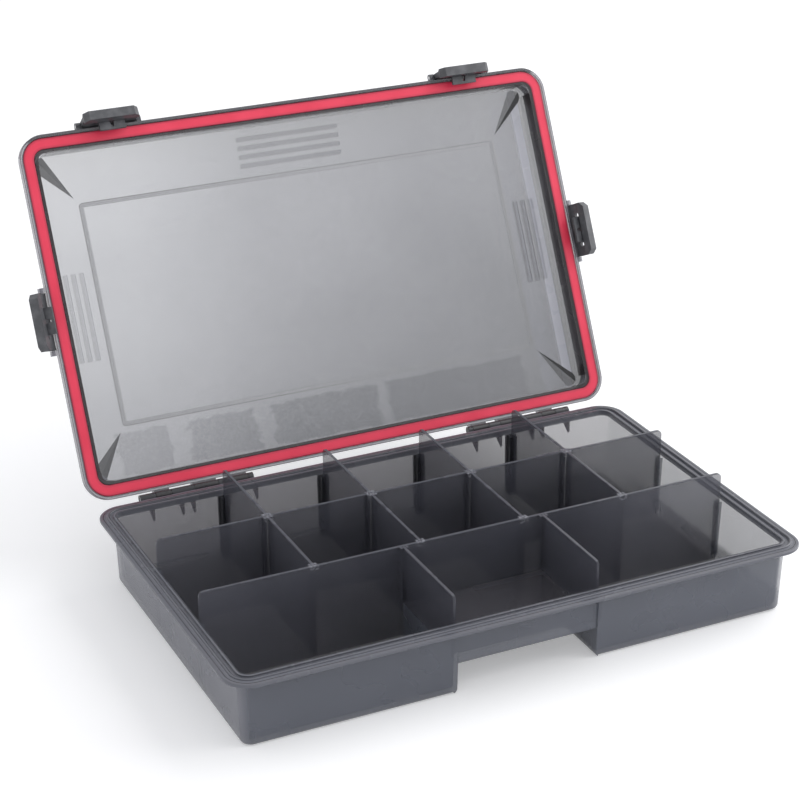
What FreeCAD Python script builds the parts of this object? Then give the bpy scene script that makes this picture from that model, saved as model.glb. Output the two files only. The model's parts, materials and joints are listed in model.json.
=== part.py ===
import FreeCAD, Part
import math
import os

# A flat, hinged, waterproof tackle box: a deep tray with loose dividers, a domed lid with a
# soft seal, two pinned hinges at the back and four latches. Millimetres. X runs along the
# front, Y to the back and Z up. The origin is the centre of the tray's underside.
# The lid is modelled shut, then turned open about its hinge, as the box is shown.

V = FreeCAD.Vector
X_DIR = V(1, 0, 0)
Y_DIR = V(0, 1, 0)
Z_DIR = V(0, 0, 1)

# Outline that the tray's rim and the lid's skirt share
box_length = 360.0
box_depth = 225.0
outline_radius = 15.7

# Tray shell
tray_height = 44.6
tray_wall = 1.8
floor_thickness = 2.0
rim_width = 10.0
wall_draft = 1.3
floor_edge_radius = 3.0
floor_inner_bevel = 2.0

# Tray rim, from its lip outwards
groove_drop = 1.0
bead_inset = 5.2
bead_width = 1.6
bead_rise = 0.2
flange_drop = 0.8
flange_thickness = 2.3
flange_edge_bevel = 0.5

# Finger recess under the front of the tray
recess_half_width = 44.0
recess_setback = 1.6
recess_height = 22.4
recess_lip_low = 19.0
recess_back_gap = 1.9

# Lid shell, shut
lid_gap = 0.4
skirt_thickness = 1.8
skirt_height = 6.3
skirt_edge_bevel = 1.1
lid_wall = 1.8
lid_wall_depth = 16.1
lid_corner_radius = 9.0
lid_foot_bevel = 1.2
lid_crown = 2.4
lid_top_thickness = 2.0
panel_margin_side = 35.7
panel_margin_front = 41.9
panel_line_radius = 3.0
panel_line_inset = 0.6
panel_line_width = 1.5
panel_line_depth = 0.5
ridge_start = 3.4
ridge_drop = 4.5
ridge_spread = 1.45

# Seal in the lid
seal_width = 7.0
seal_thickness = 3.0
seal_squeeze_gap = 0.3
seal_side_gap = 0.1
seal_edge_radius = 0.7

# Grip ribs moulded inside the lid
rib_height = 0.9
rib_width = 2.4
side_rib_pitch = 5.4
side_rib_length = 54.5
side_rib_count = 3
front_rib_pitch = 5.6
front_rib_length = 69.0
front_rib_count = 4

# Hinges: each row is a tray knuckle, from its distance to the hinge's centre, and its length
hinge_end_margin = 68.0
hinge_setback = 3.4
hinge_drop = 1.0
knuckle_radius = 2.6
knuckle_gap = 0.3
pin_radius = 1.2
pin_clearance = 0.05
pin_end_wall = 1.2
tray_knuckles = ((-37.0, 3.0), (-22.0, 8.0), (2.0, 14.6), (27.0, 10.0))
gusset_thickness = 1.4
gusset_height = 9.5
gusset_spacing = 9.0
lid_open_angle = 116.7

# Latches, shut, measured from their pivots
latch_width = 35.0
latch_length = 13.8
latch_pivot_out = 2.2
latch_pivot_rise = 3.2
latch_barrel_radius = 1.9
latch_pin_radius = 1.0
latch_plate_inner = 1.4
latch_plate_outer = 1.7
latch_bar_height = 5.0
latch_bar_inner = 3.0
latch_bar_outer = 2.9
latch_corner = 3.0
latch_hook_width = 16.6
latch_hook_reach = 8.2
latch_hook_gap = 0.3
latch_hook_thickness = 2.0
latch_slot_root = 3.6
latch_slot_tip = 1.2
latch_slot_wall = 1.6
latch_hole_radius = 1.6
latch_hole_spacing = 19.7
latch_hole_drop = 6.2
latch_rib_width = 1.4
latch_open_front_left = 15.0
latch_open_front_right = 2.0
latch_open_left = 39.0
latch_open_right = 25.0
latch_end_margin = 59.5
lug_thickness = 3.0
lug_gap = 0.3
lug_radius = 2.2

# Dividers
divider_thickness = 1.6
divider_top = 60.0
divider_gap = 0.3
divider_end_gap = 0.5
divider_corner = 3.0
end_cell_extra = 2.7
cell_columns = 5
front_row_depth = 65.7
middle_row_depth = 67.5
slot_rib_width = 1.4
slot_rib_depth = 2.4
slot_rib_reach = 2.0
slot_rib_top_gap = 4.0

# Places worked out from the sizes above
half_length = box_length / 2
half_depth = box_depth / 2
wall_inset = rim_width - tray_wall
floor_inset = rim_width + wall_draft
flange_top = tray_height - flange_drop
flange_low = flange_top - flange_thickness
bead_top = tray_height + bead_rise
lid_low = flange_top + lid_gap
seal_face = bead_top + seal_squeeze_gap
groove_roof = seal_face + seal_thickness
skirt_top = lid_low + skirt_height
lip_low = tray_height + lid_gap
seal_inset = skirt_thickness + seal_side_gap * 2
lid_wall_inset = seal_inset + seal_width + seal_side_gap
lid_inner_inset = lid_wall_inset + lid_wall
lid_foot = lip_low + lid_wall_depth
lid_ceiling = lid_foot + lid_crown
lid_top = lid_ceiling + lid_top_thickness
hinge_y = half_depth + hinge_setback
hinge_z = flange_top - hinge_drop
latch_pivot_z = lid_low + latch_pivot_rise
hook_top = latch_pivot_z - (flange_low - latch_hook_gap)
slot_gap = divider_thickness + 2 * divider_gap
inner_half_length = half_length - floor_inset
inner_half_depth = half_depth - floor_inset
end_x = inner_half_length - divider_end_gap
end_y = inner_half_depth - divider_end_gap
long_divider_y = front_row_depth - inner_half_depth
short_divider_y = long_divider_y + middle_row_depth
cell_pitch = 2 * (inner_half_length - end_cell_extra) / cell_columns
cross_x = [cell_pitch * (column + 1 - cell_columns / 2) for column in range(cell_columns - 1)]
recess_back = long_divider_y - divider_thickness / 2 - recess_back_gap - tray_wall
recess_front = half_depth - wall_inset - recess_setback
hinge_centre_x = half_length - hinge_end_margin
latch_front_x = half_length - latch_end_margin
front_divider_x = recess_half_width + tray_wall / 2


def rounded_wire(half_x, half_y, radius, z):
    """Closed outline of a rounded rectangle, from lines and quarter arcs."""
    edges = []
    cut = radius * (1 - math.cos(math.pi / 4))
    corners = ((1, 1), (-1, 1), (-1, -1), (1, -1))
    for index, (sx, sy) in enumerate(corners):
        along_y = V(sx * half_x, sy * (half_y - radius), z)
        middle = V(sx * (half_x - cut), sy * (half_y - cut), z)
        along_x = V(sx * (half_x - radius), sy * half_y, z)
        start, end = (along_y, along_x) if sx * sy > 0 else (along_x, along_y)
        if edges:
            edges.append(Part.makeLine(last, start))
        else:
            first = start
        edges.append(Part.Arc(start, middle, end).toShape())
        last = end
    edges.append(Part.makeLine(last, first))
    return Part.Wire(edges)


def slab(inset, low, high, radius=None):
    """Upright block whose outline lies inset from the box's outline."""
    corner = outline_radius - inset if radius is None else radius
    wire = rounded_wire(half_length - inset, half_depth - inset, corner, low)
    return Part.Face(wire).extrude(V(0, 0, high - low))


def block(x_low, x_high, y_low, y_high, z_low, z_high):
    """Box between two corners."""
    return Part.makeBox(x_high - x_low, y_high - y_low, z_high - z_low, V(x_low, y_low, z_low))


def cylinder_x(radius, x_low, x_high, y, z):
    """Cylinder along X."""
    return Part.makeCylinder(radius, x_high - x_low, V(x_low, y, z), X_DIR)


def prism_x(outline, x_low, x_high):
    """Prism along X from an outline of (y, z) points."""
    points = [V(x_low, y, z) for y, z in outline]
    return Part.Face(Part.makePolygon(points + points[:1])).extrude(V(x_high - x_low, 0, 0))


def edges_at(shape, z):
    """Edges that lie wholly at one height."""
    box_limit = 1e-4
    found = []
    for edge in shape.Edges:
        box = edge.BoundBox
        if abs(box.ZMin - z) < box_limit and abs(box.ZMax - z) < box_limit:
            found.append(edge)
    return found


def turned(shape, centre, direction, angle):
    """Copy of a shape turned about a line."""
    copy = shape.copy()
    copy.rotate(centre, direction, angle)
    return copy


def mirrored_x(shape):
    """Copy of a shape on the other side of the YZ plane."""
    return shape.mirror(V(0, 0, 0), X_DIR)


def swing_open(shape):
    """Turn a piece of the shut lid to the open position."""
    return turned(shape, V(0, hinge_y, hinge_z), X_DIR, -lid_open_angle)


def wall_profile():
    """Edges of the tray's wall and rim in one section: (inset, height) as (x, z)."""
    foot = wall_inset + wall_draft
    round_centre = foot + floor_edge_radius
    bend = 1 - math.sqrt(0.5)
    bead_out = bead_inset - bead_width / 2
    bead_in = bead_inset + bead_width / 2
    bead_flat = bead_width / 4
    bead_spring = bead_top - bead_flat
    root = floor_inset + floor_inner_bevel + outline_radius / 20
    edge = flange_edge_bevel
    line_to = "line"
    arc_to = "arc"
    path = [
        (line_to, (round_centre, 0)),
        (arc_to, (foot + floor_edge_radius * bend, floor_edge_radius * bend), (foot, floor_edge_radius)),
        (line_to, (wall_inset, flange_low)),
        (line_to, (edge, flange_low)),
        (line_to, (0, flange_low + edge)),
        (line_to, (0, flange_top - edge)),
        (line_to, (edge, flange_top)),
        (line_to, (bead_out, flange_top)),
        (line_to, (bead_out, bead_spring)),
        (line_to, (bead_out + bead_flat, bead_top)),
        (line_to, (bead_in - bead_flat, bead_top)),
        (line_to, (bead_in, bead_spring)),
        (line_to, (bead_in, tray_height - groove_drop)),
        (line_to, (wall_inset, tray_height - groove_drop)),
        (line_to, (wall_inset, tray_height)),
        (line_to, (rim_width, tray_height)),
        (line_to, (floor_inset, floor_thickness + floor_inner_bevel)),
        (line_to, (floor_inset + floor_inner_bevel, floor_thickness)),
        (line_to, (root, floor_thickness)),
        (line_to, (root, 0)),
    ]
    edges = []
    here = path[-1][1]
    for step in path:
        target = step[-1]
        if step[0] == line_to:
            edges.append(Part.makeLine(V(-here[0], 0, here[1]), V(-target[0], 0, target[1])))
        else:
            points = [V(-p[0], 0, p[1]) for p in (here, step[1], target)]
            edges.append(Part.Arc(*points).toShape())
        here = target
    return Part.Face(Part.Wire(edges))


def outline_ring(section):
    """Run a section, drawn at the outline's edge, round the box's rounded outline."""
    pieces = []
    for side in range(4):
        reach = half_length if side % 2 == 0 else half_depth
        run = (half_depth if side % 2 == 0 else half_length) - outline_radius
        start = section.copy()
        start.translate(V(reach, -run, 0))
        straight = start.extrude(V(0, 2 * run, 0))
        end = section.copy()
        end.translate(V(reach, run, 0))
        corner = end.revolve(V(reach - outline_radius, run, 0), Z_DIR, 90)
        for piece in (straight, corner):
            pieces.append(turned(piece, V(0, 0, 0), Z_DIR, 90 * side))
    return pieces[0].multiFuse(pieces[1:])


def slot_ribs_y(x, y_low, y_high, z_low, z_high):
    """Pair of upright ribs that hold the end of a divider lying along Y."""
    near = slot_gap / 2
    far = near + slot_rib_width
    return [block(x - far, x - near, y_low, y_high, z_low, z_high),
            block(x + near, x + far, y_low, y_high, z_low, z_high)]


def slot_ribs_x(y, x_low, x_high, z_low, z_high):
    """Pair of upright ribs that hold the end of a divider lying along X."""
    near = slot_gap / 2
    far = near + slot_rib_width
    return [block(x_low, x_high, y - far, y - near, z_low, z_high),
            block(x_low, x_high, y + near, y + far, z_low, z_high)]


def wall_slot(reach, end):
    """Slot on a drafted wall, drawn on the back wall at the middle of the box."""
    top = tray_height - slot_rib_top_gap
    low = floor_thickness / 2
    rib = [(end - slot_rib_reach, low),
           (reach - floor_inset + tray_wall / 2, low),
           (reach - floor_inset + tray_wall / 2 + wall_draft * top / tray_height, top),
           (end - slot_rib_reach, top)]
    near = slot_gap / 2
    far = near + slot_rib_width
    return prism_x(rib, near, far).fuse(prism_x(rib, -far, -near))


def tray_slot_ribs():
    """Slots for the dividers' ends on the tray's four walls."""
    ribs = []
    back_slot = wall_slot(half_depth, end_y)
    for x in cross_x:
        slot = back_slot.copy()
        slot.translate(V(x, 0, 0))
        ribs.append(slot)
    for side in (-1, 1):
        side_slot = turned(wall_slot(half_length, end_x), V(0, 0, 0), Z_DIR, -90 * side)
        for y in (long_divider_y, short_divider_y):
            slot = side_slot.copy()
            slot.translate(V(0, y, 0))
            ribs.append(slot)
    inner_face = recess_front - tray_wall
    top = tray_height - slot_rib_top_gap
    for x in (-front_divider_x, front_divider_x):
        ribs += slot_ribs_y(x, -recess_front - tray_wall / 3, slot_rib_reach + divider_end_gap - inner_face,
                            recess_height, top)
    return ribs


def finger_recess():
    """Walls round the finger recess, and the space it cuts away."""
    outer = recess_half_width + tray_wall
    floor_top = recess_height + tray_wall
    inner_face = tray_wall - recess_front
    walls = [
        block(-outer, outer, -recess_front, recess_back + tray_wall, 0, floor_top),
        block(-outer, outer, -recess_front, inner_face, 0, flange_low + flange_thickness / 2),
    ]
    flare = floor_edge_radius
    bend = flare * (1 - math.sqrt(0.5))
    front = -half_depth - flare
    low = -flare
    mouth = []
    for side in (1, -1):
        wall = side * recess_half_width
        mouth.append(Part.makePolygon([V(wall, front, recess_height), V(wall, front, flare)]))
        arc = Part.Arc(V(wall, front, flare), V(wall + side * bend, front, bend),
                       V(wall + side * flare, front, 0)).toShape()
        mouth.append(arc)
        mouth.append(Part.makeLine(V(wall + side * flare, front, 0), V(wall + side * flare, front, low)))
    across = recess_half_width + flare
    mouth.append(Part.makeLine(V(across, front, low), V(-across, front, low)))
    mouth.append(Part.makeLine(V(recess_half_width, front, recess_height),
                               V(-recess_half_width, front, recess_height)))
    outline = Part.Wire(Part.__sortEdges__([edge for piece in mouth for edge in piece.Edges]))
    hollow = Part.Face(outline).extrude(V(0, recess_back - front, 0))
    lip = block(-recess_half_width, recess_half_width, -recess_front, inner_face,
                recess_lip_low, recess_height)
    outside = block(-recess_half_width, recess_half_width, front, -recess_front,
                    recess_lip_low, flange_low)
    return walls, hollow.cut(lip).fuse(outside)


def hinge_spans():
    """Where the tray's and the lid's knuckles lie along the right-hand hinge."""
    tray_spans = [(hinge_centre_x + start, hinge_centre_x + start + length)
                  for start, length in tray_knuckles]
    lid_spans = [(before[1] + knuckle_gap, after[0] - knuckle_gap)
                 for before, after in zip(tray_spans, tray_spans[1:])]
    return tray_spans, lid_spans


def tray_hinge():
    """Tray knuckles of the right-hand hinge, on webs under the rim's back edge."""
    tray_spans, _ = hinge_spans()
    wall_y = half_depth - wall_inset
    pieces = []
    for low, high in tray_spans:
        bridge = block(low, high, half_depth - flange_thickness, hinge_y,
                       flange_low, hinge_z + pin_radius / 2)
        knuckle = cylinder_x(knuckle_radius, low, high, hinge_y, hinge_z)
        pieces += [bridge, knuckle]
        count = max(1, round((high - low) / gusset_spacing))
        for index in range(count):
            centre = low + (high - low) * (index + 0.5) / count
            web = [(wall_y - tray_wall / 2, flange_low + flange_thickness / 2),
                   (wall_y - tray_wall / 2, flange_low - gusset_height),
                   (wall_y, flange_low - gusset_height),
                   (hinge_y, hinge_z - knuckle_radius),
                   (hinge_y, hinge_z)]
            pieces.append(prism_x(web, centre - gusset_thickness / 2, centre + gusset_thickness / 2))
    bore_start = tray_spans[0][0] + pin_end_wall
    bore = cylinder_x(pin_radius + pin_clearance, bore_start, tray_spans[-1][1] + pin_end_wall,
                      hinge_y, hinge_z)
    return pieces, bore


def make_tray():
    """Tray with its rim, finger recess, hinge knuckles and divider slots."""
    ring = outline_ring(wall_profile())
    floor = slab(floor_inset + floor_inner_bevel, 0, floor_thickness)
    walls, hollow = finger_recess()
    knuckles, bore = tray_hinge()
    left_knuckles = [mirrored_x(piece) for piece in knuckles]
    shell = ring.multiFuse([floor] + walls + tray_slot_ribs() + knuckles + left_knuckles)
    cut = shell.cut(hollow.fuse([bore, mirrored_x(bore)]))
    return cut.removeSplitter()


def panel_wire(z, spread=0.0):
    """Outline of the line round the lid's flat centre panel."""
    return rounded_wire(half_length - panel_margin_side + spread, half_depth - panel_margin_front + spread,
                        panel_line_radius + spread, z)


def dome(inset, corner, low, foot, top, bevel):
    """Solid with upright walls, a narrow bevel and four shallow slopes up to the centre panel."""
    solid = slab(inset, low, top, corner)
    for reach, margin, quarter in ((half_depth, panel_margin_front, 0), (half_length, panel_margin_side, 90)):
        wall = reach - inset
        panel = reach - margin
        shoulder = foot + (top - foot) * bevel / (wall - panel)
        section = [(wall, low), (wall, foot - bevel), (wall - bevel, shoulder), (panel, top)]
        section += [(-y, z) for y, z in reversed(section)]
        solid = solid.common(turned(prism_x(section, -half_length, half_length), V(0, 0, 0), Z_DIR, quarter))
    return solid


def slope_height(x, y):
    """Height of the ceiling's slope inside the shut lid at a point off the centre panel."""
    side = (abs(x) - (half_length - panel_margin_side)) / (panel_margin_side - lid_inner_inset)
    front = (abs(y) - (half_depth - panel_margin_front)) / (panel_margin_front - lid_inner_inset)
    return lid_ceiling - lid_crown * max(side, front, 0)


def lid_ribs():
    """Grip ribs on the lid's slopes: a group on each side and one at the front."""
    ribs = []
    side_middle = half_length - (panel_margin_side + lid_inner_inset) / 2
    for index in range(side_rib_count):
        x = side_middle + side_rib_pitch * (index - (side_rib_count - 1) / 2)
        low = slope_height(x, 0) - rib_height
        for side in (-1, 1):
            edges = sorted((side * (x - rib_width / 2), side * (x + rib_width / 2)))
            ribs.append(block(edges[0], edges[1], -side_rib_length / 2, side_rib_length / 2,
                              low, lid_ceiling))
    front_middle = (panel_margin_front + lid_inner_inset) / 2 - half_depth
    for index in range(front_rib_count):
        y = front_middle + front_rib_pitch * (index - (front_rib_count - 1) / 2)
        low = slope_height(0, y) - rib_height
        ribs.append(block(-front_rib_length / 2, front_rib_length / 2, y - rib_width / 2, y + rib_width / 2,
                          low, lid_ceiling))
    return ribs


def lid_ridges():
    """Ridges that widen over the lid's slopes from near the panel's corners to the rim's."""
    corner_x = half_length - lid_inner_inset
    corner_y = half_depth - lid_inner_inset
    panel_x = half_length - panel_margin_side
    panel_y = half_depth - panel_margin_front
    run = V(corner_x - panel_x, corner_y - panel_y, 0)
    length = run.Length
    run.normalize()
    start = V(panel_x, panel_y, 0) + run * ridge_start
    start.z = slope_height(start.x, start.y)
    drop = (start.z - lid_foot + ridge_drop) / (length - ridge_start)
    side = V(-run.y, run.x, 0) * ridge_spread * lid_wall_depth
    base = start + Z_DIR * lid_wall_depth
    face = Part.Face(Part.makePolygon([start, base + side, base - side, start]))
    ridge = face.extrude((run - Z_DIR * drop) * length)
    pair = [ridge, mirrored_x(ridge)]
    return pair + [turned(piece, V(0, 0, 0), Z_DIR, 180) for piece in pair]


def lid_hinge():
    """Lid knuckles of the right-hand hinge, on arms from the skirt's back face."""
    _, lid_spans = hinge_spans()
    root_y = half_depth - skirt_thickness / 2
    arm = [(root_y, lid_low + lid_gap),
           (root_y, skirt_top - skirt_edge_bevel),
           (half_depth, skirt_top - skirt_edge_bevel),
           (hinge_y + knuckle_radius * math.sqrt(0.5), hinge_z + knuckle_radius * math.sqrt(0.5)),
           (hinge_y, hinge_z),
           (hinge_y - knuckle_radius * math.sqrt(0.75), hinge_z + knuckle_radius / 2)]
    pieces = []
    for low, high in lid_spans:
        pieces.append(prism_x(arm, low, high))
        pieces.append(cylinder_x(knuckle_radius, low, high, hinge_y, hinge_z))
    bore = cylinder_x(pin_radius + pin_clearance, lid_spans[0][0], lid_spans[-1][1], hinge_y, hinge_z)
    return pieces, bore


def on_edge(shape, place):
    """Move a piece drawn at the middle of the front edge to its own edge of the box."""
    if place == "left":
        return turned_to_side(shape, -1)
    if place == "right":
        return turned_to_side(shape, 1)
    copy = shape.copy()
    side = -1 if place == "front_left" else 1
    copy.translate(V(side * latch_front_x, -half_depth, 0))
    return copy


def turned_to_side(shape, side):
    """Turn a piece from the front edge to the left (-1) or right (1) edge."""
    copy = turned(shape, V(0, 0, 0), Z_DIR, 90 * side)
    copy.translate(V(side * half_length, 0, 0))
    return copy


latch_places = {"front_left": latch_open_front_left, "front_right": latch_open_front_right,
                "left": latch_open_left, "right": latch_open_right}


def latch_lugs():
    """Two lugs that carry a latch's pin, drawn at the middle of the front edge."""
    near = latch_width / 2 + lug_gap
    root_y = skirt_thickness / 2
    base = lid_low + lid_gap
    cheek = [(root_y, base), (root_y, skirt_top - skirt_edge_bevel),
             (-latch_pivot_out, latch_pivot_z + lug_radius), (-latch_pivot_out, latch_pivot_z - lug_radius)]
    lugs = []
    for start in (near, -near - lug_thickness):
        plate = prism_x(cheek, start, start + lug_thickness)
        nose = cylinder_x(lug_radius, start, start + lug_thickness, -latch_pivot_out, latch_pivot_z)
        lugs.append(plate.fuse(nose))
    hole = cylinder_x(latch_pin_radius + pin_clearance, -near - lug_thickness, near + lug_thickness,
                      -latch_pivot_out, latch_pivot_z)
    return lugs[0].fuse(lugs[1]).cut(hole)


def make_lid():
    """Domed lid with its skirt, seal groove, grip ribs, hinge knuckles and latch lugs."""
    skirt = slab(0, lid_low, skirt_top)
    skirt = skirt.makeChamfer(skirt_edge_bevel, edges_at(skirt, skirt_top))
    outer = dome(lid_wall_inset, lid_corner_radius + lid_wall, lid_low, lid_foot + lid_top_thickness, lid_top,
                 lid_foot_bevel + lid_wall)
    inner = dome(lid_inner_inset, lid_corner_radius, lid_low - lid_gap, lid_foot, lid_ceiling, lid_foot_bevel)
    inner = inner.cut(lid_ribs() + lid_ridges())
    groove_out = slab(skirt_thickness, lid_low - lid_gap, groove_roof)
    groove_in = slab(lid_wall_inset, lid_low - lid_gap, groove_roof)
    relief = slab(skirt_thickness, lid_low - lid_gap, lip_low)
    rise = V(0, 0, panel_line_depth)
    line_out = Part.Face(panel_wire(lid_ceiling, -panel_line_inset)).extrude(rise)
    line_in = Part.Face(panel_wire(lid_ceiling, -panel_line_inset - panel_line_width)).extrude(rise)
    line = line_out.cut(line_in)
    knuckles, bore = lid_hinge()
    left_knuckles = [mirrored_x(piece) for piece in knuckles]
    lugs = [on_edge(latch_lugs(), place) for place in latch_places]
    solid = skirt.multiFuse([outer] + knuckles + left_knuckles)
    hollow = inner.multiFuse([groove_out.cut(groove_in), relief, line, bore, mirrored_x(bore)])
    lid = solid.cut(hollow).multiFuse(lugs)
    return lid.removeSplitter()


def make_seal():
    """Soft seal that fills the lid's groove and meets the bead on the tray's rim."""
    outer = slab(seal_inset, seal_face, groove_roof)
    inner = slab(seal_inset + seal_width, seal_face, groove_roof)
    ring = outer.cut(inner)
    return ring.makeFillet(seal_edge_radius, edges_at(ring, seal_face))


def make_hinge_pin():
    """Pin of the right-hand hinge."""
    tray_spans, _ = hinge_spans()
    start = tray_spans[0][0] + pin_end_wall + knuckle_gap
    return cylinder_x(pin_radius, start, tray_spans[-1][1] - knuckle_gap, hinge_y, hinge_z)


def make_latch(angle):
    """Latch at the middle of the front edge, turned open by an angle."""
    half = latch_width / 2
    pivot_y = -latch_pivot_out
    low = latch_pivot_z - latch_length
    bar_top = low + latch_bar_height
    plate = block(-half, half, pivot_y - latch_plate_outer, pivot_y + latch_plate_inner, low, latch_pivot_z)
    barrel = cylinder_x(latch_barrel_radius, -half, half, pivot_y, latch_pivot_z)
    bar = [(pivot_y - latch_bar_outer, low), (pivot_y - latch_bar_outer, bar_top - latch_bar_outer / 2),
           (pivot_y - latch_plate_outer, bar_top), (pivot_y + latch_bar_inner, bar_top),
           (pivot_y + latch_bar_inner, low)]
    grip = prism_x(bar, -half, half)
    top = latch_pivot_z - hook_top
    bottom = top - latch_hook_thickness
    tip_y = pivot_y + latch_hook_reach
    nose = latch_hook_thickness / 3
    hook = [(pivot_y, top), (tip_y - nose, top), (tip_y, top - nose), (tip_y, bottom), (pivot_y, bottom)]
    hooks = prism_x(hook, -latch_hook_width / 2, latch_hook_width / 2)
    slot_root = pivot_y + latch_plate_inner
    slot_tip = tip_y - latch_slot_wall
    slot_corners = [(-latch_slot_root / 2, slot_root), (latch_slot_root / 2, slot_root),
                    (latch_slot_tip / 2, slot_tip), (-latch_slot_tip / 2, slot_tip),
                    (-latch_slot_root / 2, slot_root)]
    slot = Part.makePolygon([V(x, y, bottom) for x, y in slot_corners])
    body = plate.multiFuse([barrel, grip, hooks.cut(Part.Face(slot).extrude(Z_DIR * latch_hook_thickness))])
    cuts = [cylinder_x(latch_pin_radius + pin_clearance, -half, half, pivot_y, latch_pivot_z)]
    for side in (-1, 1):
        hole_x = side * latch_hole_spacing / 2
        cuts.append(Part.makeCylinder(latch_hole_radius, latch_length,
                                      V(hole_x, pivot_y - latch_length / 2, latch_pivot_z - latch_hole_drop),
                                      Y_DIR))
        corner = Part.makePolygon([V(side * half, pivot_y - latch_length, low),
                                   V(side * (half - latch_corner), pivot_y - latch_length, low),
                                   V(side * half, pivot_y - latch_length, low + latch_corner),
                                   V(side * half, pivot_y - latch_length, low)])
        cuts.append(Part.Face(corner).extrude(V(0, 2 * latch_length, 0)))
    rib = block(-latch_rib_width / 2, latch_rib_width / 2, pivot_y - latch_bar_outer, pivot_y,
                bar_top - latch_rib_width, latch_pivot_z - latch_barrel_radius)
    shape = body.multiFuse([rib]).cut(cuts).removeSplitter()
    return turned(shape, V(0, pivot_y, latch_pivot_z), X_DIR, -angle)


def make_latch_pin():
    """Pin that carries a latch in its two lugs."""
    half = latch_width / 2 + lug_gap + lug_thickness
    return cylinder_x(latch_pin_radius, -half, half, -latch_pivot_out, latch_pivot_z)


def sheet(length, low, free_start, free_end):
    """Divider sheet along X from 0. Its free ends meet the tray's wall: their top corners are
    rounded, and their lower ones are cut to clear the floor's inner bevel."""
    top = divider_top
    bend = divider_corner * (1 - math.sqrt(0.5))
    foot = floor_inner_bevel + divider_gap
    edges = []
    if free_start:
        corner = [V(0, 0, top - divider_corner), V(bend, 0, top - bend), V(divider_corner, 0, top)]
        edges += [Part.makeLine(V(foot, 0, low), V(0, 0, low + foot)),
                  Part.makeLine(V(0, 0, low + foot), corner[0]),
                  Part.Arc(*corner).toShape()]
        low_start, top_start = foot, divider_corner
    else:
        edges.append(Part.makeLine(V(0, 0, low), V(0, 0, top)))
        low_start, top_start = 0, 0
    if free_end:
        corner = [V(length - divider_corner, 0, top), V(length - bend, 0, top - bend),
                  V(length, 0, top - divider_corner)]
        edges += [Part.makeLine(V(top_start, 0, top), corner[0]),
                  Part.Arc(*corner).toShape(),
                  Part.makeLine(corner[2], V(length, 0, low + foot)),
                  Part.makeLine(V(length, 0, low + foot), V(length - foot, 0, low)),
                  Part.makeLine(V(length - foot, 0, low), V(low_start, 0, low))]
    else:
        edges += [Part.makeLine(V(top_start, 0, top), V(length, 0, top)),
                  Part.makeLine(V(length, 0, top), V(length, 0, low)),
                  Part.makeLine(V(length, 0, low), V(low_start, 0, low))]
    solid = Part.Face(Part.Wire(edges)).extrude(V(0, divider_thickness, 0))
    solid.translate(V(0, -divider_thickness / 2, 0))
    return solid


def make_long_divider():
    """Divider over the tray's whole length, with slots for the ones that meet it."""
    low = floor_thickness + divider_gap
    plate = sheet(2 * end_x, low, True, True)
    plate.translate(V(-end_x, long_divider_y, 0))
    back = long_divider_y + divider_thickness / 2
    front = long_divider_y - divider_thickness / 2
    ribs = []
    for x in cross_x:
        ribs += slot_ribs_y(x, back, back + slot_rib_depth, low, divider_top)
    for x in (-front_divider_x, front_divider_x):
        ribs += slot_ribs_y(x, front - slot_rib_depth, front, recess_height + tray_wall + divider_gap,
                            divider_top)
    return plate.multiFuse(ribs).removeSplitter()


def make_cross_divider(x):
    """Divider from the back wall to the long divider, with slots for the short ones."""
    low = floor_thickness + divider_gap
    start = long_divider_y + divider_thickness / 2 + divider_gap
    plate = sheet(end_y - start, low, False, True)
    plate.rotate(V(0, 0, 0), Z_DIR, 90)
    plate.translate(V(x, start, 0))
    half = divider_thickness / 2
    ribs = slot_ribs_x(short_divider_y, x + half, x + half + slot_rib_depth, low, divider_top)
    ribs += slot_ribs_x(short_divider_y, x - half - slot_rib_depth, x - half, low, divider_top)
    return plate.multiFuse(ribs).removeSplitter()


def make_short_divider(column):
    """Divider between two neighbouring cross dividers, or between one and the tray's side."""
    clear = divider_thickness / 2 + divider_gap
    start = -end_x if column == 0 else cross_x[column - 1] + clear
    end = end_x if column == len(cross_x) else cross_x[column] - clear
    plate = sheet(end - start, floor_thickness + divider_gap, column == 0, column == len(cross_x))
    plate.translate(V(start, short_divider_y, 0))
    return plate


def make_front_divider(side):
    """Divider that stands on the edge of the raised floor, from the front to the long divider."""
    low = recess_height + tray_wall + divider_gap
    start = divider_end_gap + tray_wall - recess_front
    end = long_divider_y - divider_thickness / 2 - divider_gap
    plate = sheet(end - start, low, True, False)
    plate.rotate(V(0, 0, 0), Z_DIR, 90)
    plate.translate(V(side * front_divider_x, start, 0))
    return plate


def main():
    pin = make_hinge_pin()
    latch_pin = make_latch_pin()
    nodes = {
        "tray": make_tray(),
        "lid": swing_open(make_lid()),
        "seal": swing_open(make_seal()),
        "hinge_pin_right": pin,
        "hinge_pin_left": mirrored_x(pin),
        "divider_long": make_long_divider(),
        "divider_front_left": make_front_divider(-1),
        "divider_front_right": make_front_divider(1),
    }
    for place, angle in latch_places.items():
        nodes["latch_" + place] = swing_open(on_edge(make_latch(angle), place))
        nodes["latch_pin_" + place] = swing_open(on_edge(latch_pin, place))
    for column, x in enumerate(cross_x):
        nodes["divider_cross_%d" % (column + 1)] = make_cross_divider(x)
    for column in range(len(cross_x) + 1):
        nodes["divider_short_%d" % (column + 1)] = make_short_divider(column)
    os.makedirs("parts", exist_ok=True)
    for name, shape in nodes.items():
        shape.exportStep("parts/%s.step" % name)
        print(name, shape.isValid(), len(shape.Solids), round(shape.Volume, 1))


main()
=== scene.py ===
import json
import math

import bmesh
import bpy
from mathutils import Matrix, Vector


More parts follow.
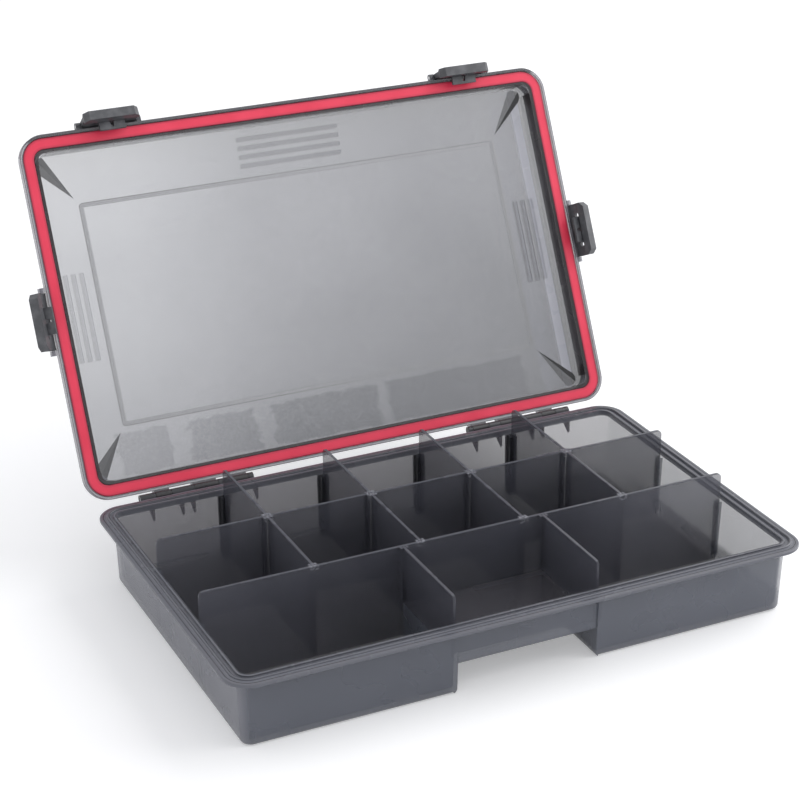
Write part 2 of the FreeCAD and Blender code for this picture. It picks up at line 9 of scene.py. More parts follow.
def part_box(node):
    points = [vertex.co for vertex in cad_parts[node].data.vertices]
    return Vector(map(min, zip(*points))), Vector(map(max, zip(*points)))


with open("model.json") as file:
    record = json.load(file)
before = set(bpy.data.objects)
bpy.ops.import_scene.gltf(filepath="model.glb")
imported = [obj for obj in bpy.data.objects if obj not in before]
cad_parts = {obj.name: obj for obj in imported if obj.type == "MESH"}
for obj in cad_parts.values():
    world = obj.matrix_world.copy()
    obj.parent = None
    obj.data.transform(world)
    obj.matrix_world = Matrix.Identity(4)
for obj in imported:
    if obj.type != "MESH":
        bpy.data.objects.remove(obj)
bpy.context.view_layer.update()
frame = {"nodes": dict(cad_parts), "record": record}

# The photograph's camera: its place, the way it looks and its lens
CAMERA_PLACE = Vector((-0.5193, -1.0193, 0.6456))
CAMERA_YAW = math.radians(-25.22)
CAMERA_PITCH = math.radians(24.53)
CAMERA_ROLL = math.radians(-0.31)
IMAGE_SIZE = 800
FOCAL_PIXELS = 2187.7
CENTRE_X_PIXELS = 384.05
CENTRE_Y_PIXELS = 405.28
SENSOR_WIDTH = 36.0

# The box's outline
HALF_LENGTH = 0.180
HALF_DEPTH = 0.1125

# Colours and how much they hide
TRAY_DARK = (0.130, 0.139, 0.168)
TRAY_PALE = (0.155, 0.165, 0.198)
# painted light: the tray's left end made paler, as if lit from the left
TRAY_LIT_LEFT_WALL = (0.250, 0.255, 0.290)
TRAY_RIM = (0.138, 0.142, 0.166)
TRAY_HINGE = (0.032, 0.033, 0.040)
# painted shade on the compartments' floors
TRAY_FLOOR_SHADE = (0.064, 0.062, 0.072)
TRAY_BACK = (0.150, 0.138, 0.172)
TRAY_OPACITY = 0.66
TRAY_BACK_OPACITY = 0.58
# painted light: lower opacity where light from the right shines through the plastic
TRAY_LIT_THROUGH_OPACITY = 0.44
# painted shade lines along the rim's grooves, and a painted highlight along the rim
TRAY_RIM_SHADE = (0.040, 0.042, 0.052)
TRAY_GLINT = (0.225, 0.230, 0.262)
DIVIDER_DARK = (0.068, 0.070, 0.088)
DIVIDER_PALE = (0.160, 0.163, 0.192)
DIVIDER_EDGE = (0.088, 0.091, 0.110)
# painted glints at the tops of the crossings
DIVIDER_GLINT = (0.30, 0.305, 0.34)
DIVIDER_OPACITY = 0.5
# painted shade: the lid's colour and opacity run from LID_PALE to LID_DARK, darker to the right, towards the hinge and
# in the middle; its grip ribs and patches shift it too
LID_PALE = (0.225, 0.232, 0.270)
LID_DARK = (0.060, 0.064, 0.084)
LID_CLEAR_OPACITY = 0.27
LID_DEEP_OPACITY = 0.61
# painted shade: dark lines along the edges of the panel's groove, and darker sloped faces between them
LID_GROOVE_SHADE = (0.040, 0.041, 0.050)
LID_BEVEL_SHADE = (0.15, 0.155, 0.18)
# painted reflection: a band on the lid's inner walls
LID_WALL_REFLECTION = (0.13, 0.135, 0.150)
# painted highlight: a pale line where the right inner walls meet the right slope
LID_ROOT_HIGHLIGHT = (0.40, 0.41, 0.50)
# painted light: the inside of the right slope paler than the painted shade around it
LID_LIT_RIGHT_SLOPE = (0.105, 0.110, 0.148)
# dark corner ridges of thick plastic, with painted shade: faces turned to the right darker than those turned to the
# left
LID_RIDGE_SHADED = (0.010, 0.010, 0.012)
LID_RIDGE_LIT = (0.018, 0.019, 0.023)
# painted shade low on the lid's inner walls, reaching higher on the right
LID_FOOT_SHADE = (0.020, 0.014, 0.018)
# painted shadow of the seal groove's side on the lid rim's lower face, with a dark line along the outer edge
LID_LIP_SHADOW = (0.085, 0.080, 0.092)
LID_SKIRT = (0.30, 0.29, 0.33)
LID_SKIRT_FRONT = (0.070, 0.070, 0.080)
LID_HINGE = (0.030, 0.029, 0.033)
# painted shade towards the seal's edges
SEAL_SHADED_EDGE = (0.44, 0.030, 0.068)
SEAL_BRIGHT = (0.80, 0.034, 0.084)
SEAL_PALE = (0.88, 0.050, 0.108)
SEAL_MIDDLE = 0.0055
LATCH_DARK = (0.072, 0.074, 0.081)
LATCH_WORN = (0.138, 0.140, 0.150)

# Marks on the lid: the line round its panel, its grip ribs and the mottled patches by its hinges
PANEL_HALF_LENGTH = 0.1443
PANEL_HALF_DEPTH = 0.0706
PANEL_RADIUS = 0.003
RIM_RADIUS = 0.0157
# insets of the painted shade lines and the painted highlight along the tray's rim
RIM_SHADE_INSETS = (0.0022, 0.0056, 0.0096)
RIM_GLINT = 0.0040
SIDE_RIBS = (0.1513, 0.0054, 3)
FRONT_RIBS = (-0.0945, 0.0056, 4)
RIB_WIDTH = 0.0027
BAR_SOFTNESS = 0.0002
SIDE_RIB_REACH = 0.0273
FRONT_RIB_REACH = 0.0345
MOTTLED_PATCHES = ((-0.150, -0.116), (-0.104, -0.058), (-0.047, 0.026), (0.034, 0.134))
MOTTLED_LOW = 0.0745
MOTTLED_HIGH = 0.1005

joints = {joint["name"]: joint for joint in frame["record"]["behaviour"]["joints"]}
hinge = Vector(joints["lid_hinge"]["pos_m"])
open_angle = math.radians(-joints["lid_hinge"]["range_deg"][0])
nodes = frame["nodes"]


def middle(name, axis):
    """Place of a node's middle along one axis."""
    low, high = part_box(name)
    return (low[axis] + high[axis]) / 2


# Where the dividers stand, how wide the slots' posts are, and how far the painted glints at the crossings reach
first_cross = middle("divider_cross_1", 0)
cross_pitch = middle("divider_cross_2", 0) - first_cross
long_row = middle("divider_long", 1)
short_row = middle("divider_short_1", 1)
SLOT_POST_WIDTH = 0.0072
CROSSING_GLINT_REACH = 0.0028


def shut_to_open():
    """Matrix that takes a place on the shut lid to the open lid of the rest pose."""
    turn = Matrix.Rotation(-open_angle, 4, "X")
    return Matrix.Translation(hinge) @ turn @ Matrix.Translation(-hinge)


LID_OPEN = shut_to_open()


# Materials

def new_material(name):
    """Material with an output and one Principled shader."""
    material = bpy.data.materials.new(name)
    material.use_nodes = True
    tree = material.node_tree
    shader = tree.nodes["Principled BSDF"]
    return material, tree, shader


def add_node(tree, kind, **values):
    """Node with its plain properties and its inputs set."""
    node = tree.nodes.new(kind)
    for key, value in values.items():
        if key in node.inputs:
            node.inputs[key].default_value = value
        else:
            setattr(node, key, value)
    return node


def object_coordinates(tree):
    """Coordinates that move with the piece, in metres."""
    return add_node(tree, "ShaderNodeTexCoord").outputs["Object"]


def noise(tree, size, detail=3.0, roughness=0.5, coordinates=None):
    """Noise whose blobs are about this many metres across."""
    node = add_node(tree, "ShaderNodeTexNoise", Scale=1 / size, Detail=detail, Roughness=roughness)
    tree.links.new(coordinates or object_coordinates(tree), node.inputs["Vector"])
    return node.outputs["Fac"]


def ramp(tree, value, low, high, to_low, to_high):
    """Value taken from one range to another and held at its ends."""
    node = add_node(tree, "ShaderNodeMapRange")
    node.inputs["From Min"].default_value = low
    node.inputs["From Max"].default_value = high
    node.inputs["To Min"].default_value = to_low
    node.inputs["To Max"].default_value = to_high
    tree.links.new(value, node.inputs["Value"])
    return node.outputs["Result"]


def blend_colours(tree, factor, first, second):
    """Colour between two by a factor."""
    node = add_node(tree, "ShaderNodeMix", data_type="RGBA")
    tree.links.new(factor, node.inputs["Factor"])
    for socket, colour in ((node.inputs[6], first), (node.inputs[7], second)):
        if isinstance(colour, tuple):
            socket.default_value = (*colour, 1.0)
        else:
            tree.links.new(colour, socket)
    return node.outputs[2]


def arithmetic(tree, operation, first, second=0.0):
    """Sum, product or other operation on sockets or plain numbers."""
    node = add_node(tree, "ShaderNodeMath", operation=operation)
    for socket, value in zip(node.inputs, (first, second)):
        if isinstance(value, (int, float)):
            socket.default_value = value
        else:
            tree.links.new(value, socket)
    return node.outputs[0]


def between(tree, value, low, high, soft):
    """One between two limits, and zero past their soft edges."""
    rise = ramp(tree, value, low - soft, low + soft, 0.0, 1.0)
    fall = ramp(tree, value, high - soft, high + soft, 1.0, 0.0)
    return arithmetic(tree, "MULTIPLY", rise, fall)


def either(tree, masks):
    """The largest of some masks."""
    result = masks[0]
    for mask in masks[1:]:
        result = arithmetic(tree, "MAXIMUM", result, mask)
    return result


def both(tree, masks):
    """The product of some masks."""
    result = masks[0]
    for mask in masks[1:]:
        result = arithmetic(tree, "MULTIPLY", result, mask)
    return result


def bars(tree, value, first, pitch, count, width):
    """One on each of a row of equal bars, and zero between them."""
    place = arithmetic(tree, "DIVIDE", arithmetic(tree, "SUBTRACT", value, first), pitch)
    nearest = arithmetic(tree, "ROUND", place)
    away = arithmetic(tree, "ABSOLUTE", arithmetic(tree, "SUBTRACT", place, nearest))
    half = width / pitch / 2
    soft = BAR_SOFTNESS / pitch
    return both(tree, [ramp(tree, away, half - soft, half + soft, 1.0, 0.0),
                       between(tree, nearest, -0.5, count - 0.5, 0.1)])


def past_outline(tree, x, y, half_x, half_y, radius):
    """Distance past a rounded oblong about the middle, below zero inside it."""
    past_x = arithmetic(tree, "SUBTRACT", arithmetic(tree, "ABSOLUTE", x), half_x - radius)
    past_y = arithmetic(tree, "SUBTRACT", arithmetic(tree, "ABSOLUTE", y), half_y - radius)
    out_x = arithmetic(tree, "MAXIMUM", past_x, 0.0)
    out_y = arithmetic(tree, "MAXIMUM", past_y, 0.0)
    squares = arithmetic(tree, "ADD", both(tree, [out_x, out_x]), both(tree, [out_y, out_y]))
    inside = arithmetic(tree, "MINIMUM", arithmetic(tree, "MAXIMUM", past_x, past_y), 0.0)
    reach = arithmetic(tree, "ADD", arithmetic(tree, "SQRT", squares), inside)
    return arithmetic(tree, "SUBTRACT", reach, radius)


def split(tree, vector):
    """The three parts of a vector."""
    node = add_node(tree, "ShaderNodeSeparateXYZ")
    tree.links.new(vector, node.inputs["Vector"])
    return node.outputs


def turned_shut(tree, vector, centre):
    """Vector of the open lid, taken back to the shut lid."""
    node = add_node(tree, "ShaderNodeVectorRotate", rotation_type="X_AXIS")
    node.inputs["Center"].default_value = centre
    node.inputs["Angle"].default_value = open_angle
    tree.links.new(vector, node.inputs["Vector"])
    return node.outputs["Vector"]


def rounded_edges(tree, shader, radius=0.0004):
    """Softly rounded edges."""
    rounded = add_node(tree, "ShaderNodeBevel", samples=4)
    rounded.inputs["Radius"].default_value = radius
    tree.links.new(rounded.outputs["Normal"], shader.inputs["Normal"])
    return rounded


def fine_grain(tree, shader, size, depth):
    """Fine moulding grain over softly rounded edges."""
    rounded = rounded_edges(tree, shader)
    bump = add_node(tree, "ShaderNodeBump", Strength=0.3)
    bump.inputs["Distance"].default_value = depth
    tree.links.new(noise(tree, size), bump.inputs["Height"])
    tree.links.new(rounded.outputs["Normal"], bump.inputs["Normal"])
    tree.links.new(bump.outputs["Normal"], shader.inputs["Normal"])


def plastic(name, rough_low, rough_high, opacity):
    """Smooth see-through plastic with faint handling marks in its gloss."""
    material, tree, shader = new_material(name)
    smears = noise(tree, 0.03, detail=2.0)
    tree.links.new(ramp(tree, smears, 0.35, 0.7, rough_low, rough_high), shader.inputs["Roughness"])
    shader.inputs["Alpha"].default_value = opacity
    shader.inputs["IOR"].default_value = 1.5
    rounded_edges(tree, shader)
    return material, tree, shader


def tinted(tree, layers, start):
    """Colour built up from (mask, colour) layers over a start colour."""
    colour = start
    for mask, over in layers:
        colour = blend_colours(tree, mask, colour, over)
    return colour


def smoked_tray():
    """Blue-grey smoked plastic: deep at its hinges and slots, with painted shade darkening its floor, painted light
    making its left end paler, and painted light shining through at the back right and the right end, where it is made
    more see-through.
    """
    material, tree, shader = plastic("smoked_tray", 0.24, 0.30, TRAY_OPACITY)
    coordinates = add_node(tree, "ShaderNodeTexCoord")
    x, y, z = split(tree, coordinates.outputs["Object"])
    facing_x, _, facing_z = split(tree, coordinates.outputs["Normal"])
    cloud = ramp(tree, noise(tree, 0.08, detail=2.0), 0.35, 0.65, 0.0, 1.0)
    body = blend_colours(tree, cloud, TRAY_DARK, TRAY_PALE)
    # painted light: faces turned to the left near the left end made paler, as if lit from the left
    lit_left_wall = both(tree, [ramp(tree, facing_x, -0.9, -0.3, 1.0, 0.0),
                       ramp(tree, x, -HALF_LENGTH + 0.014, -HALF_LENGTH + 0.016, 1.0, 0.0)])
    rim = ramp(tree, z, 0.0408, 0.0414, 0.0, 1.0)
    webs = both(tree, [ramp(tree, y, 0.1046, 0.1050, 0.0, 1.0), ramp(tree, z, 0.0408, 0.0412, 1.0, 0.0)])
    hinge_side = either(tree, [webs, ramp(tree, y, 0.1128, 0.1132, 0.0, 1.0)])
    below_rim = ramp(tree, z, 0.0408, 0.0412, 1.0, 0.0)
    # painted shade: upward faces low in the compartments darkened
    floor_shade = both(tree, [ramp(tree, facing_z, 0.5, 0.7, 0.0, 1.0), ramp(tree, z, 0.030, 0.032, 1.0, 0.0)])
    posts = both(tree, [bars(tree, x, first_cross, cross_pitch, 4, SLOT_POST_WIDTH),
                        ramp(tree, y, 0.0962, 0.0970, 0.0, 1.0), below_rim])
    past_rim = past_outline(tree, x, y, HALF_LENGTH, HALF_DEPTH, RIM_RADIUS)
    # painted shade along the rim's grooves and a painted highlight line beside them
    rim_groove_shade = [between(tree, past_rim, -middle - 0.0003, -middle + 0.0003, 0.0001) for middle in RIM_SHADE_INSETS]
    rim_groove_shade = both(tree, [either(tree, rim_groove_shade), rim])
    rim_glint = both(tree, [between(tree, past_rim, -RIM_GLINT - 0.0003, -RIM_GLINT + 0.0003, 0.0001), rim])
    back = both(tree, [ramp(tree, y, 0.0975, 0.0985, 0.0, 1.0), ramp(tree, z, 0.004, 0.006, 0.0, 1.0)])
    layers = [(back, TRAY_BACK), (floor_shade, TRAY_FLOOR_SHADE), (lit_left_wall, TRAY_LIT_LEFT_WALL), (rim, TRAY_RIM), (rim_groove_shade, TRAY_RIM_SHADE),
              (rim_glint, TRAY_GLINT), (posts, TRAY_HINGE), (hinge_side, TRAY_HINGE)]
    colour = tinted(tree, layers, body)
    tree.links.new(colour, shader.inputs["Base Color"])
    # painted light: lower opacity at the back right and along the right end stands in for light from the right shining
    # through
    clear = both(tree, [ramp(tree, x, 0.05, 0.12, 0.0, 1.0), ramp(tree, y, 0.02, 0.08, 0.0, 1.0)])
    clear = either(tree, [clear, both(tree, [ramp(tree, x, 0.1655, 0.1665, 0.0, 1.0),
                                             ramp(tree, z, 0.008, 0.012, 0.0, 1.0)])])
    opacity = ramp(tree, back, 0.0, 1.0, TRAY_OPACITY, TRAY_BACK_OPACITY)
    opacity = arithmetic(tree, "MULTIPLY", opacity,
                         ramp(tree, clear, 0.0, 1.0, 1.0, TRAY_LIT_THROUGH_OPACITY / TRAY_OPACITY))
    thick = ramp(tree, either(tree, [rim, hinge_side, posts]), 0.0, 1.0, 0.0, 0.92)
    tree.links.new(either(tree, [opacity, thick]), shader.inputs["Alpha"])
    return material


def smoked_divider():
    """Thin smoked sheet, paler at its ends and its cut edges, with painted light making its top part paler and painted
    glints at the tops of its crossings.
    """
    material, tree, shader = plastic("smoked_divider", 0.25, 0.31, DIVIDER_OPACITY)
    x, y, z = split(tree, object_coordinates(tree))
    cloud = ramp(tree, noise(tree, 0.05, detail=2.0), 0.35, 0.65, 0.0, 0.12)
    # painted light: higher up, the sheets are made paler, as if lit from above
    lit_upper = ramp(tree, z, 0.034, 0.058, 0.0, 0.28)
    right_end = both(tree, [ramp(tree, x, 0.07, 0.11, 0.0, 0.74), ramp(tree, y, -0.032, -0.028, 1.0, 0.0),
                            ramp(tree, z, 0.010, 0.046, 0.3, 1.0)])
    ends = either(tree, [ramp(tree, x, -0.16, -0.09, 0.4, 0.0), right_end])
    shade = arithmetic(tree, "ADD", arithmetic(tree, "ADD", cloud, lit_upper), ends)
    body = blend_colours(tree, shade, DIVIDER_DARK, DIVIDER_PALE)
    edge = ramp(tree, z, 0.0594, 0.0598, 0.0, 1.0)
    # painted glints: bright dots at the tops of the crossings
    glint_dots = ramp(tree, noise(tree, 0.0012, detail=2.0), 0.48, 0.56, 0.0, 1.0)
    rows = [between(tree, y, row - CROSSING_GLINT_REACH, row + CROSSING_GLINT_REACH, 0.0003) for row in (long_row, short_row)]
    crossing_glints = both(tree, [bars(tree, x, first_cross, cross_pitch, 4, 2 * CROSSING_GLINT_REACH), either(tree, rows),
                        glint_dots, ramp(tree, z, 0.0566, 0.0572, 0.0, 1.0)])
    colour = tinted(tree, [(edge, DIVIDER_EDGE), (crossing_glints, DIVIDER_GLINT)], body)
    tree.links.new(colour, shader.inputs["Base Color"])
    tree.links.new(ramp(tree, edge, 0.0, 1.0, DIVIDER_OPACITY, 0.9), shader.inputs["Alpha"])
    return material


def lid_marks(tree, x, y):
    """Masks of the lid's fine marks from a place on the shut lid: line, bevel, ribs, patches."""
    across = arithmetic(tree, "ABSOLUTE", x)
    along = arithmetic(tree, "ABSOLUTE", y)
    from_line = past_outline(tree, x, y, PANEL_HALF_LENGTH, PANEL_HALF_DEPTH, PANEL_RADIUS)
    # painted shade: dark lines along the groove round the panel, and its sloped faces darkened
    line = either(tree, [between(tree, from_line, -0.0010, -0.0003, 0.0001),
                         between(tree, from_line, -0.0032, -0.0028, 0.0001)])
    bevel = between(tree, from_line, -0.0028, -0.0010, 0.0001)
    side_ribs = both(tree, [bars(tree, across, *SIDE_RIBS, RIB_WIDTH),
                            ramp(tree, along, SIDE_RIB_REACH, SIDE_RIB_REACH + 0.0004, 1.0, 0.0)])
    front_ribs = both(tree, [bars(tree, y, *FRONT_RIBS, RIB_WIDTH),
                             ramp(tree, across, FRONT_RIB_REACH, FRONT_RIB_REACH + 0.0004, 1.0, 0.0)])
    wander = ramp(tree, noise(tree, 0.008, detail=4.0, roughness=0.7), 0.3, 0.7, -0.004, 0.004)
    loose_x = arithmetic(tree, "ADD", x, wander)
    loose_y = arithmetic(tree, "ADD", y, arithmetic(tree, "MULTIPLY", wander, 0.4))
    patches = either(tree, [between(tree, loose_x, low, high, 0.001) for low, high in MOTTLED_PATCHES])
    patches = both(tree, [patches, between(tree, loose_y, MOTTLED_LOW, MOTTLED_HIGH, 0.0006)])
    return line, bevel, either(tree, [side_ribs, front_ribs]), patches


def smoked_lid():
    """Smoked plastic of the lid, with painted shade making it darker to the right and towards the hinge, darker and
    two-toned at its corner ridges, painted shadow on its lips, and painted reflection and shade on its upright walls.
    """
    material, tree, shader = plastic("smoked_lid", 0.2, 0.36, LID_CLEAR_OPACITY)
    coordinates = add_node(tree, "ShaderNodeTexCoord")
    place = turned_shut(tree, coordinates.outputs["Object"], hinge)
    facing = turned_shut(tree, coordinates.outputs["Normal"], (0, 0, 0))
    x, y, z = split(tree, place)
    normal_x, normal_y, normal_z = split(tree, facing)
    past_rim = past_outline(tree, x, y, HALF_LENGTH, HALF_DEPTH, RIM_RADIUS)
    inset = arithmetic(tree, "MULTIPLY", past_rim, -1.0)
    # painted shade: darker to the right, towards the hinge and over a band in the middle
    across = ramp(tree, x, -HALF_LENGTH, HALF_LENGTH, 0.0, 0.65)
    down = ramp(tree, y, -HALF_DEPTH, HALF_DEPTH, 0.0, 0.35)
    cloud = ramp(tree, noise(tree, 0.07, detail=2.0), 0.3, 0.7, -0.03, 0.03)
    middle = both(tree, [ramp(tree, x, -0.12, -0.03, 0.0, 0.11), ramp(tree, x, 0.09, 0.15, 1.0, 0.2)])
    shade = arithmetic(tree, "ADD", arithmetic(tree, "ADD", across, down), cloud)
    shade = arithmetic(tree, "ADD", shade, middle)
    line, bevel, ribs, patches = lid_marks(tree, x, y)
    speckle = ramp(tree, noise(tree, 0.0014, detail=5.0, roughness=0.75), 0.48, 0.7, 0.21, -0.05)
    shade = arithmetic(tree, "ADD", shade, both(tree, [patches, speckle]))
    shade = arithmetic(tree, "ADD", shade, arithmetic(tree, "MULTIPLY", ribs, 0.22))
    body = blend_colours(tree, shade, LID_PALE, LID_DARK)
    ridge = arithmetic(tree, "ABSOLUTE", both(tree, [normal_x, normal_y]))
    ridge = both(tree, [ramp(tree, ridge, 0.06, 0.13, 0.0, 1.0), ramp(tree, normal_z, -0.4, -0.3, 1.0, 0.0)])
    gloss = shader.inputs["Roughness"].links[0].from_socket
    dull = arithmetic(tree, "MULTIPLY", ridge, 0.85)
    tree.links.new(either(tree, [gloss, dull]), shader.inputs["Roughness"])
    # painted shade: ridge faces turned to the right darker than those turned to the left
    ridge_shaded_face = both(tree, [ridge, ramp(tree, normal_x, -0.05, 0.05, 0.0, 1.0)])
    ridge_lit_face = both(tree, [ridge, ramp(tree, normal_x, -0.05, 0.05, 1.0, 0.0)])
    inner_wall = between(tree, inset, 0.0085, 0.0115, 0.0002)
    # painted shade low on the lid's inner walls, reaching higher on the right
    foot_shade = both(tree, [inner_wall, ramp(tree, z, 0.0495, 0.0525, 1.0, 0.0)])
    right_side = ramp(tree, x, 0.150, 0.152, 0.0, 1.0)
    right_foot_shade = both(tree, [inner_wall, right_side, ramp(tree, z, 0.0553, 0.0557, 1.0, 0.0)])
    foot_shade = either(tree, [foot_shade, right_foot_shade])
    # painted reflection: a band on the lid's inner walls
    wall_reflection = both(tree, [inner_wall, ramp(tree, z, 0.0615, 0.0625, 1.0, 0.0)])
    skirt = ramp(tree, inset, 0.0022, 0.0026, 1.0, 0.0)
    skirt = both(tree, [skirt, ramp(tree, z, 0.0505, 0.0515, 1.0, 0.0)])
    edge = ramp(tree, z, 0.0443, 0.0447, 1.0, 0.0)
    # painted shadow of the seal groove's side on the lid rim's lower face, with a dark line along the outer edge
    lip_shadow = both(tree, [edge, either(tree, [ramp(tree, inset, 0.0003, 0.0005, 1.0, 0.0),
                                          between(tree, inset, 0.0014, 0.0024, 0.0001)])])
    front_skirt = both(tree, [skirt, ramp(tree, y, -HALF_DEPTH + 0.003, -HALF_DEPTH + 0.005, 1.0, 0.0)])
    knuckle = ramp(tree, y, HALF_DEPTH + 0.0005, HALF_DEPTH + 0.001, 0.0, 1.0)
    inside = ramp(tree, normal_z, -0.1, 0.0, 1.0, 0.0)
    # painted highlight: a pale line where the right inner walls meet the right slope
    root_highlight = both(tree, [between(tree, x, 0.1612, 0.1674, 0.0004), inside,
                       ramp(tree, z, 0.0605, 0.061, 0.0, 1.0)])
    # painted light: the inside of the right slope made paler
    lit_right_slope = both(tree, [between(tree, x, 0.1455, 0.1612, 0.0006), inside])
    layers = [(lit_right_slope, LID_LIT_RIGHT_SLOPE), (bevel, LID_BEVEL_SHADE), (line, LID_GROOVE_SHADE), (root_highlight, LID_ROOT_HIGHLIGHT), (wall_reflection, LID_WALL_REFLECTION),
              (ridge_lit_face, LID_RIDGE_LIT), (ridge_shaded_face, LID_RIDGE_SHADED), (foot_shade, LID_FOOT_SHADE),
              (skirt, LID_SKIRT), (front_skirt, LID_SKIRT_FRONT), (lip_shadow, LID_LIP_SHADOW), (knuckle, LID_HINGE)]
    tree.links.new(tinted(tree, layers, body), shader.inputs["Base Color"])
    # painted shade in the opacity too: more opaque where the shade runs darker
    opacity = ramp(tree, shade, 0.0, 1.0, LID_CLEAR_OPACITY, LID_DEEP_OPACITY)
    deep = arithmetic(tree, "MULTIPLY", either(tree, [ridge_shaded_face, foot_shade, lip_shadow, knuckle]), 0.93)
    half_deep = arithmetic(tree, "MULTIPLY", either(tree, [ridge_lit_face, front_skirt]), 0.8)
    faint = arithmetic(tree, "MULTIPLY", either(tree, [skirt, wall_reflection, line, root_highlight]), 0.55)
    sloped = arithmetic(tree, "MULTIPLY", bevel, 0.48)
    tree.links.new(either(tree, [opacity, deep, half_deep, faint, sloped]), shader.inputs["Alpha"])
    return material


def red_silicone():
    """Soft seal with a satin sheen: bright along its middle, with painted shade darkening it towards both edges as on
    a rounded band.
    """
    material, tree, shader = new_material("red_silicone")
    x, y, _ = split(tree, turned_shut(tree, object_coordinates(tree), hinge))
    past_rim = past_outline(tree, x, y, HALF_LENGTH, HALF_DEPTH, RIM_RADIUS)
    off_middle = arithmetic(tree, "ABSOLUTE", arithmetic(tree, "ADD", past_rim, SEAL_MIDDLE))
    cloud = ramp(tree, noise(tree, 0.02), 0.3, 0.7, 0.0, 1.0)
    body = blend_colours(tree, cloud, SEAL_BRIGHT, SEAL_PALE)
    # painted shade: darker towards both edges, as on a rounded band lit from above
    edge = ramp(tree, off_middle, 0.0016, 0.0036, 0.0, 1.0)
    tree.links.new(blend_colours(tree, edge, body, SEAL_SHADED_EDGE), shader.inputs["Base Color"])
    tree.links.new(ramp(tree, noise(tree, 0.004), 0.3, 0.7, 0.34, 0.46), shader.inputs["Roughness"])
    shader.inputs["Specular IOR Level"].default_value = 0.5
    fine_grain(tree, shader, 0.0008, 0.00001)
    return material


def black_plastic():
    """Fine matt black plastic of the latches, greyer where it is rubbed."""
    material, tree, shader = new_material("black_plastic")
    wear = ramp(tree, noise(tree, 0.006, detail=6.0), 0.45, 0.75, 0.0, 1.0)
    tree.links.new(blend_colours(tree, wear, LATCH_DARK, LATCH_WORN), shader.inputs["Base Color"])
    tree.links.new(ramp(tree, noise(tree, 0.003), 0.3, 0.7, 0.4, 0.52), shader.inputs["Roughness"])
    fine_grain(tree, shader, 0.0006, 0.00002)
    return material


def drawn_steel():
    """Wire of the pins, with fine lines along it."""
    material, tree, shader = new_material("drawn_steel")
    stretch = add_node(tree, "ShaderNodeMapping")
    stretch.inputs["Scale"].default_value = (0.05, 1.0, 1.0)
    tree.links.new(object_coordinates(tree), stretch.inputs["Vector"])
    lines = noise(tree, 0.0004, coordinates=stretch.outputs["Vector"])
    tree.links.new(ramp(tree, lines, 0.3, 0.7, 0.25, 0.45), shader.inputs["Roughness"])
    tree.links.new(blend_colours(tree, lines, (0.45, 0.45, 0.46), (0.62, 0.62, 0.63)),
                   shader.inputs["Base Color"])
    shader.inputs["Metallic"].default_value = 1.0
    return material


def give(material, names):
    """Put one material in every slot of some CAD nodes."""
    for name in names:
        for slot in nodes[name].material_slots:
            slot.material = material


give(smoked_tray(), ["tray"])
give(smoked_lid(), ["lid"])
give(smoked_divider(), [name for name in nodes if name.startswith("divider")])
give(red_silicone(), ["seal"])
give(black_plastic(), [name for name in nodes if name.startswith("latch_") and "pin" not in name])
give(drawn_steel(), [name for name in nodes if "pin" in name])


# Stage

def seen_directly(tree):
    """One for rays from the camera and for those that gloss or clear plastic sends on."""
    path = add_node(tree, "ShaderNodeLightPath")
    first = add_node(tree, "ShaderNodeMath", operation="MAXIMUM")
    second = add_node(tree, "ShaderNodeMath", operation="MAXIMUM")
    tree.links.new(path.outputs["Is Camera Ray"], first.inputs[0])
    tree.links.new(path.outputs["Is Glossy Ray"], first.inputs[1])
    tree.links.new(first.outputs[0], second.inputs[0])
    tree.links.new(path.outputs["Is Transmission Ray"], second.inputs[1])
    return second.outputs[0]


WORLD_LIGHT = 0.77
WORLD_TINT = (0.955, 0.965, 1.0)
KEY_POWER = 33.0
FLOOR_COLOUR = 0.88
FLOOR_LIFT = 0.24


def make_world():
    """Soft even light, and white where it is seen."""
    world = bpy.data.worlds.new("studio")
    bpy.context.scene.world = world
    world.use_nodes = True
    tree = world.node_tree
    background = tree.nodes["Background"]
    seen = seen_directly(tree)
    tree.links.new(blend_colours(tree, seen, WORLD_TINT, (1.0, 1.0, 1.0)), background.inputs["Color"])
    tree.links.new(ramp(tree, seen, 0.0, 1.0, WORLD_LIGHT, 1.0), background.inputs["Strength"])


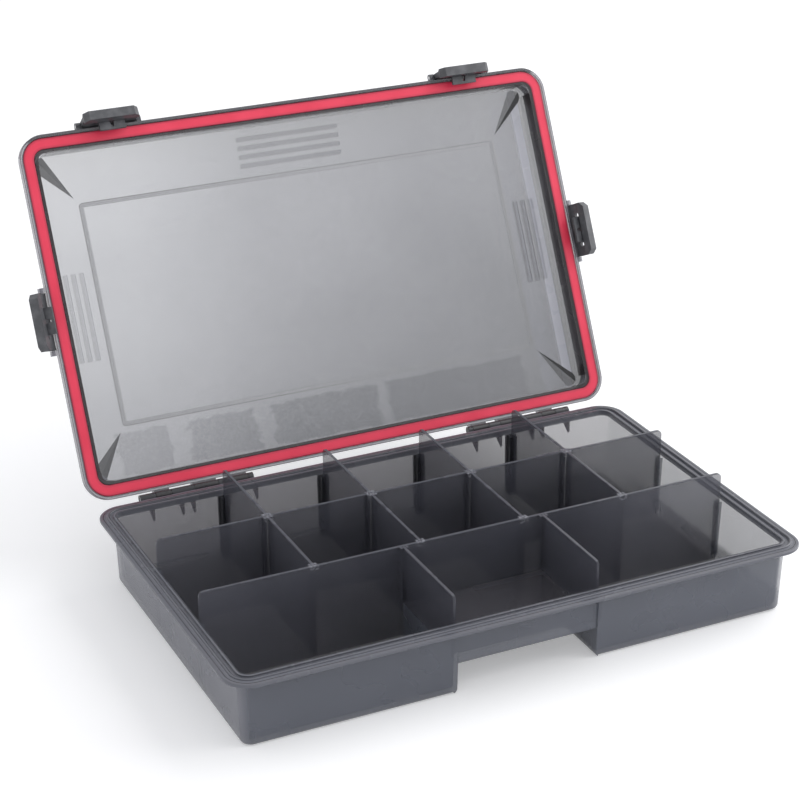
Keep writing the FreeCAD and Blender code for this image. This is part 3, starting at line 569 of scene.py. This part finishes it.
def make_floor():
    """White table that keeps the object's shadow."""
    bpy.ops.mesh.primitive_plane_add(size=12.0, location=(0, 0, -0.0002))
    floor = bpy.context.object
    floor.name = "table_top"
    material, tree, shader = new_material("white_table")
    grain = ramp(tree, noise(tree, 0.3), 0.3, 0.7, FLOOR_COLOUR - 0.01, FLOOR_COLOUR + 0.01)
    tree.links.new(grain, shader.inputs["Base Color"])
    shader.inputs["Roughness"].default_value = 1.0
    shader.inputs["Specular IOR Level"].default_value = 0.0
    shader.inputs["Emission Color"].default_value = (1.0, 1.0, 1.0, 1.0)
    lift = ramp(tree, seen_directly(tree), 0.0, 1.0, 0.0, FLOOR_LIFT)
    tree.links.new(lift, shader.inputs["Emission Strength"])
    floor.data.materials.append(material)


def make_lamp(name, place, target, size, power):
    """Square soft lamp turned to a point."""
    data = bpy.data.lights.new(name, "AREA")
    data.size = size
    data.energy = power
    lamp = bpy.data.objects.new(name, data)
    bpy.context.collection.objects.link(lamp)
    lamp.location = place
    lamp.rotation_mode = "QUATERNION"
    lamp.rotation_quaternion = (target - place).to_track_quat("-Z", "Y")


def make_camera():
    """Camera at the photograph's place, with its lens and its off-centre frame."""
    data = bpy.data.cameras.new("photo_camera")
    camera = bpy.data.objects.new("photo_camera", data)
    bpy.context.collection.objects.link(camera)
    yaw, pitch, roll = CAMERA_YAW, CAMERA_PITCH, CAMERA_ROLL
    ahead = Vector((-math.sin(yaw) * math.cos(pitch), math.cos(yaw) * math.cos(pitch), -math.sin(pitch)))
    level = Vector((math.cos(yaw), math.sin(yaw), 0))
    upright = level.cross(ahead)
    right = math.cos(roll) * level + math.sin(roll) * upright
    up = math.cos(roll) * upright - math.sin(roll) * level
    turn = Matrix((right, up, -ahead)).transposed().to_4x4()
    camera.matrix_world = Matrix.Translation(CAMERA_PLACE) @ turn
    data.sensor_width = SENSOR_WIDTH
    data.lens = FOCAL_PIXELS * SENSOR_WIDTH / IMAGE_SIZE
    data.shift_x = 0.5 - CENTRE_X_PIXELS / IMAGE_SIZE
    data.shift_y = CENTRE_Y_PIXELS / IMAGE_SIZE - 0.5
    data.clip_start = 0.01
    data.clip_end = 50.0
    bpy.context.scene.camera = camera


make_world()
make_floor()
make_lamp("key_lamp", Vector((1.75, -0.25, 1.35)), Vector((0, 0, 0)), 2.2, KEY_POWER)
make_camera()
bpy.context.scene.view_settings.view_transform = "Standard"
bpy.context.scene.cycles.transparent_max_bounces = 48
